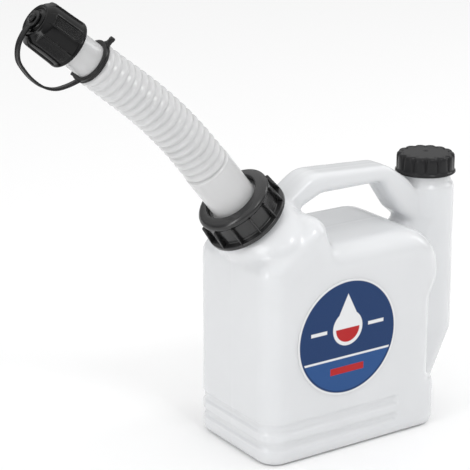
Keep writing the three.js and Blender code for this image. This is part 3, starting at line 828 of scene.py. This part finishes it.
CAP_PROFILE = [(r, CAP_RIM + z, bands) for r, z, bands in CAP_FROM_RIM]
CAP_PROFILE += [(r, CAP_TOP + z, bands) for r, z, bands in CAP_FROM_TOP]
cap = new_piece("spout_cap_shell", *turned(CAP_PROFILE, CAP_SEGMENTS, TIP, cap_side), cap_plastic)
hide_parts("spout_cap")
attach(cap, "spout_closure")
print("spout_cap_shell:", len(cap.data.polygons), "faces")

# %% [markdown]
# The tether keeps the cap with the bottle: a ring that turns on the spout, a thin strap
# and a loop. It is one flexible moulding. Here the ring is its own mesh that stays with
# the spout, and the strap with its loop is one more mesh, laid along a fixed route from
# the ring to the top of the cap.

# %% Tether ring
RING = spout_place(RING_AT)
RING_EDGE_R = 12.2
ring_profile = rounded([
    (10.55, -1.45), (12.8, -1.45), (12.8, -0.75), (12.45, -0.55),
    (12.45, 0.55), (12.8, 0.75), (12.8, 1.45), (10.55, 1.45),
], 0.3)
# Outlines of the pull tab and of the small horn: outwards from the ring, and sideways.
TAB = [
    (-0.8, -3.2), (0.4, -3.0), (1.6, -1.7), (3.2, -1.2), (4.2, -1.7), (5.4, -1.4), (5.8, 0),
    (5.4, 1.4), (4.2, 1.7), (3.2, 1.2), (1.6, 1.7), (0.4, 3.0), (-0.8, 3.2),
]
HORN = [(-0.6, -2.2), (0.7, -1.9), (2.0, -0.4), (2.0, 0.4), (0.7, 1.9), (-0.6, 2.2)]
TAB_ANGLE, HORN_ANGLE, LUG_HALF = math.radians(-23), math.radians(139), 1.2


def lug(angle, outline):
    """A flat lug on the ring, a little narrower at its two faces."""
    turn = RING @ Matrix.Rotation(angle, 4, "Z")
    rings = []
    for z, grow in ((-LUG_HALF, 0.75), (-LUG_HALF + 0.25, 1), (LUG_HALF - 0.25, 1), (LUG_HALF, 0.75)):
        rings.append([turn @ Vector((RING_EDGE_R + r, across * grow, z)) for r, across in outline])
    return skin_rings(rings)


ring_parts = (turned(ring_profile, 120, RING), lug(TAB_ANGLE, TAB), lug(HORN_ANGLE, HORN))
ring = new_piece("tether_ring", *merged(*ring_parts), tether_plastic)
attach(ring, "spout")
print("tether_ring:", len(ring.data.polygons), "faces")

# %% Route of the tether strap
ring_down = (RING.to_3x3() @ Vector((-1, 0, 0)))
cap_out = (TIP.to_3x3() @ Vector((0, 0, 1)))
cap_down = (TIP.to_3x3() @ Vector((-1, 0, 0)))
on_ring = RING.translation + ring_down * 11.9
off_loop = TIP.translation + cap_out * (CAP_TOP + 1.1) + cap_down * 3.6
STRAP_BOW = 36


def bowed(x, z):
    """A point of the strap's bow, from the ring, in shares of the bow's width."""
    return on_ring + Vector((-STRAP_BOW * x, 0, STRAP_BOW * z))


ROUTE = [
    on_ring, bowed(0.219, -0.063), bowed(0.404, -0.083), bowed(0.589, -0.032), bowed(0.76, 0.09),
    bowed(0.907, 0.26), bowed(0.992, 0.42), off_loop + cap_down * 12.4 - cap_out * 0.8,
    off_loop + cap_down * 5.5 + cap_out * 0.5, off_loop,
]


def through(points, per_span=10):
    """A centripetal Catmull-Rom curve through the points."""
    ends = [points[0] * 2 - points[1], *points, points[-1] * 2 - points[-2]]
    out = []
    for i in range(1, len(ends) - 2):
        p = ends[i - 1:i + 3]
        t = [0.0]
        for a, b in zip(p, p[1:]):
            t.append(t[-1] + max((b - a).length, 1e-6) ** 0.5)
        for k in range(per_span):
            u = t[1] + (t[2] - t[1]) * k / per_span
            level = list(p)
            for width in (1, 2):
                shares = [(u - t[j]) / (t[j + width] - t[j]) for j in range(len(level) - 1)]
                level = [a.lerp(b, share) for a, b, share in zip(level, level[1:], shares)]
            out.append(level[0].lerp(level[1], (u - t[1]) / (t[2] - t[1])))
    return out + [points[-1]]


route = through(ROUTE)
print("strap length, mm:", round(sum((b - a).length for a, b in zip(route, route[1:]))))

# %% Tether strap
# Across the strap: raised edges outside, flat inside, all edges softened.
STRAP_SECTION = [
    (-2.2, -0.35), (-1.9, -0.68), (1.9, -0.68), (2.2, -0.35), (2.2, 0.45), (1.95, 0.7),
    (1.55, 0.7), (1.35, 0.42), (-1.35, 0.42), (-1.55, 0.7), (-1.95, 0.7), (-2.2, 0.45),
]
sideways = Vector((0, 1, 0))
strap_rings = []
for i, here in enumerate(route):
    ahead = (route[min(i + 1, len(route) - 1)] - route[max(i - 1, 0)]).normalized()
    up = ahead.cross(sideways)
    strap_rings.append([here + sideways * across + up * out for across, out in STRAP_SECTION])
LOOP_LOW, LOOP_HIGH = CAP_TOP + 0.4, CAP_TOP + 1.8
loop_profile = rounded([(2.75, LOOP_LOW), (4.9, LOOP_LOW), (4.9, LOOP_HIGH), (2.75, LOOP_HIGH)], 0.35)
strap_parts = merged(skin_rings(strap_rings), turned(loop_profile, 48, TIP))
strap = new_piece("tether_strap", *strap_parts, tether_plastic)
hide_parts("cap_tether")
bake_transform(strap)
print("tether_strap:", len(strap.data.polygons), "faces")

# %% [markdown]
# The column's cap is lower and wider. Its grip is a ring of broad rounded lobes with
# narrow grooves that open towards the top, round a slightly domed disc. As on the other
# cap, the turned profile carries them: each row has the grooves' depth and width.

# %% Oil cap
SEAT, LINER, OIL_CAP_PLATE, OIL_CAP_HEIGHT = 0.3, 1.2, 1.5, 12.2
OIL_TOP = OIL_NECK_H + SEAT + LINER + SEAT + OIL_CAP_PLATE
OIL_RIM = OIL_TOP - OIL_CAP_HEIGHT
LOBES = 14
OIL_CAP_SEGMENTS = LOBES * 24


def lobes(angle, depth, width):
    """How far the side stands out between two grooves, and how far in at a groove."""
    turn = (angle * LOBES / (2 * math.pi)) % 1
    gap = min(turn, 1 - turn)
    groove = math.exp(-((gap / width) ** 2))
    crown = 0.35 * (1 - (2 * abs(turn - 0.5)) ** 2)
    return depth * (crown - 1.5 * groove)


# Radius, height from the rim or from the top, and the grooves' depth and width.
OIL_FROM_RIM = [
    (16.7, 0.2, 0, 0.1), (17.0, 0, 0, 0.1), (18.5, 0, 0, 0.1), (18.9, 0.4, 0, 0.1),
    (18.8, 1.2, 0, 0.1), (18.3, 1.8, 0, 0.1), (17.9, 2.3, 0.2, 0.06), (17.85, 3.2, 0.6, 0.07),
    (17.8, 6.5, 0.75, 0.09),
]
OIL_FROM_TOP = [
    (17.75, -2.6, 0.85, 0.13), (17.5, -1.2, 0.9, 0.17), (17.0, -0.4, 0.95, 0.2),
    (16.3, 0, 1.0, 0.22), (15.5, 0.05, 0.9, 0.22), (14.9, -0.25, 0.4, 0.2), (14.2, -0.45, 0, 0.1),
    (11, -0.1, 0, 0.1), (7, 0.25, 0, 0.1), (3, 0.5, 0, 0.1), (0.02, 0.6, 0, 0.1),
    (0.02, -OIL_CAP_PLATE, 0, 0.1), (16.6, -OIL_CAP_PLATE, 0, 0.1),
]
OIL_PROFILE = [(r, OIL_RIM + z, *groove) for r, z, *groove in OIL_FROM_RIM]
OIL_PROFILE += [(r, OIL_TOP + z, *groove) for r, z, *groove in OIL_FROM_TOP]
oil_cap_skin = turned(OIL_PROFILE, OIL_CAP_SEGMENTS, OIL_NECK, lobes)
oil_cap = new_piece("oil_cap_shell", *oil_cap_skin, oil_cap_plastic)
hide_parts("oil_cap")
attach(oil_cap, "oil_closure")
print("oil_cap_shell:", len(oil_cap.data.polygons), "faces")

# %% [markdown]
# The label is a round printed film. An image could carry its print, but simple shapes can
# be made from distances in its own plane and stay sharp at any size: a mask is 1 inside a
# shape and 0 outside, and each mask lays one ink on what is below.

# %% Label plane
label_film = bpy.data.materials.new("label_film")
label_film.use_nodes = True
ink_nodes, ink_links = label_film.node_tree.nodes, label_film.node_tree.links
label_shader = ink_nodes["Principled BSDF"]
label_place = ink_nodes.new("ShaderNodeTexCoord")
split = ink_nodes.new("ShaderNodeSeparateXYZ")
ink_links.new(label_place.outputs["Object"], split.inputs[0])


def number(operation, *values):
    """A maths node on numbers or on other nodes' outputs."""
    node = ink_nodes.new("ShaderNodeMath")
    node.operation = operation
    for i, value in enumerate(values):
        if isinstance(value, (int, float)):
            node.inputs[i].default_value = value
        else:
            ink_links.new(value, node.inputs[i])
    return node.outputs[0]


LABEL_X, LABEL_Z, LABEL_R = -0.009, 0.073, 0.036
across_label = number("DIVIDE", number("SUBTRACT", split.outputs["X"], LABEL_X), LABEL_R)
up_label = number("DIVIDE", number("SUBTRACT", split.outputs["Z"], LABEL_Z), LABEL_R)
print("label plane: 1 unit is", round(LABEL_R / MM), "mm")

# %% Shapes of the print
EDGE_SOFT = 0.012


def inside(distance):
    """1 where the distance is below 0, with a soft edge."""
    rise = number("MULTIPLY_ADD", distance, -1 / EDGE_SOFT, 0.5)
    return number("MINIMUM", number("MAXIMUM", rise, 0), 1)


def disc(x, z, radius):
    from_x = number("POWER", number("SUBTRACT", across_label, x), 2)
    from_z = number("POWER", number("SUBTRACT", up_label, z), 2)
    return number("SUBTRACT", number("SQRT", number("ADD", from_x, from_z)), radius)


def bar(x, z, half_x, half_z):
    far_x = number("SUBTRACT", number("ABSOLUTE", number("SUBTRACT", across_label, x)), half_x)
    far_z = number("SUBTRACT", number("ABSOLUTE", number("SUBTRACT", up_label, z)), half_z)
    return number("MAXIMUM", far_x, far_z)


def drop(x, z, size):
    """A drop: a disc below and a cone that narrows to a point above it."""
    cone_up = number("SUBTRACT", up_label, z + size * 0.45)
    cone_side = number("ABSOLUTE", number("SUBTRACT", across_label, x))
    flank = number("ADD", number("MULTIPLY", cone_side, 0.894), number("MULTIPLY", cone_up, 0.447))
    cone = number("MAXIMUM", number("SUBTRACT", flank, size * 0.69), number("SUBTRACT", 0, cone_up))
    return number("MINIMUM", disc(x, z, size), cone)


def both(first, second):
    return number("MAXIMUM", first, second)


def below(z):
    return number("SUBTRACT", up_label, z)


print("shapes: disc, bar, drop")

# %% Label print
BLUE, PALE_BLUE = (0.006, 0.036, 0.13), (0.016, 0.075, 0.24)
WHITE, RED = (0.78, 0.79, 0.8), (0.45, 0.012, 0.014)
BORDER_R, FIELD_R, LINE_Z, DROP_Z = 0.965, 0.93, -0.34, 0.16


def laid(under, colour, mask):
    """The colour where the mask is 1, and what is below it elsewhere."""
    mix = ink_nodes.new("ShaderNodeMix")
    mix.data_type = "RGBA"
    ink_links.new(mask, mix.inputs["Factor"])
    if isinstance(under, tuple):
        mix.inputs["A"].default_value = (*under, 1)
    else:
        ink_links.new(under, mix.inputs["A"])
    mix.inputs["B"].default_value = (*colour, 1)
    return mix.outputs["Result"]


PRINT = [
    (WHITE, number("SUBTRACT", BORDER_R, disc(0, 0, 0))),
    (PALE_BLUE, both(disc(0, 0, FIELD_R), below(LINE_Z))),
    (WHITE, both(disc(0, 0, FIELD_R), bar(0, LINE_Z, 1, 0.018))),
    (WHITE, drop(0, DROP_Z, 0.3)),
    (RED, both(disc(0, DROP_Z, 0.24), below(DROP_Z))),
    (WHITE, bar(-0.58, DROP_Z, 0.16, 0.03)),
    (WHITE, bar(0.58, DROP_Z, 0.16, 0.03)),
    (RED, bar(0, -0.56, 0.34, 0.06)),
]
ink = BLUE
for colour, distance in PRINT:
    ink = laid(ink, colour, inside(distance))
ink_links.new(ink, label_shader.inputs["Base Color"])
label_shader.inputs["Roughness"].default_value = 0.38
label_shader.inputs["Specular IOR Level"].default_value = 0.25
print("label print:", len(PRINT), "inks laid,", len(ink_nodes), "nodes")

# %% Label film
LABEL_UNEVEN = 0.06
label_noise = ink_nodes.new("ShaderNodeTexNoise")
label_noise.inputs["Scale"].default_value = 240
ink_links.new(label_place.outputs["Object"], label_noise.inputs["Vector"])
label_bump = ink_nodes.new("ShaderNodeBump")
label_bump.inputs["Strength"].default_value = LABEL_UNEVEN
label_bump.inputs["Distance"].default_value = 0.0001
ink_links.new(label_noise.outputs["Fac"], label_bump.inputs["Height"])
ink_links.new(label_bump.outputs["Normal"], label_shader.inputs["Normal"])
print("label film: unevenness", LABEL_UNEVEN)

# %% [markdown]
# The label is flat, and the gasket and both liners lie hidden under the closures. Finer
# meshes would add nothing to them, so they keep the frame's own and only get a material.

# %% Materials of the nodes that stay
def dress(node, material):
    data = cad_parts[node].data
    data.materials.clear()
    data.materials.append(material)
    print(node, "has", material.name)


dress("label", label_film)
dress("spout_gasket", gasket_rubber)
dress("spout_cap_liner", liner_foam)
dress("oil_cap_liner", liner_foam)

# %% [markdown]
# The dressed bottle has to stay inside the frame's box, because that box is its real
# size. The dressed bottle's box is printed here.

# %% Sizes and finish
low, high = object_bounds()
print("visual box, mm:", [round(v / MM) for v in (*low, *high)])
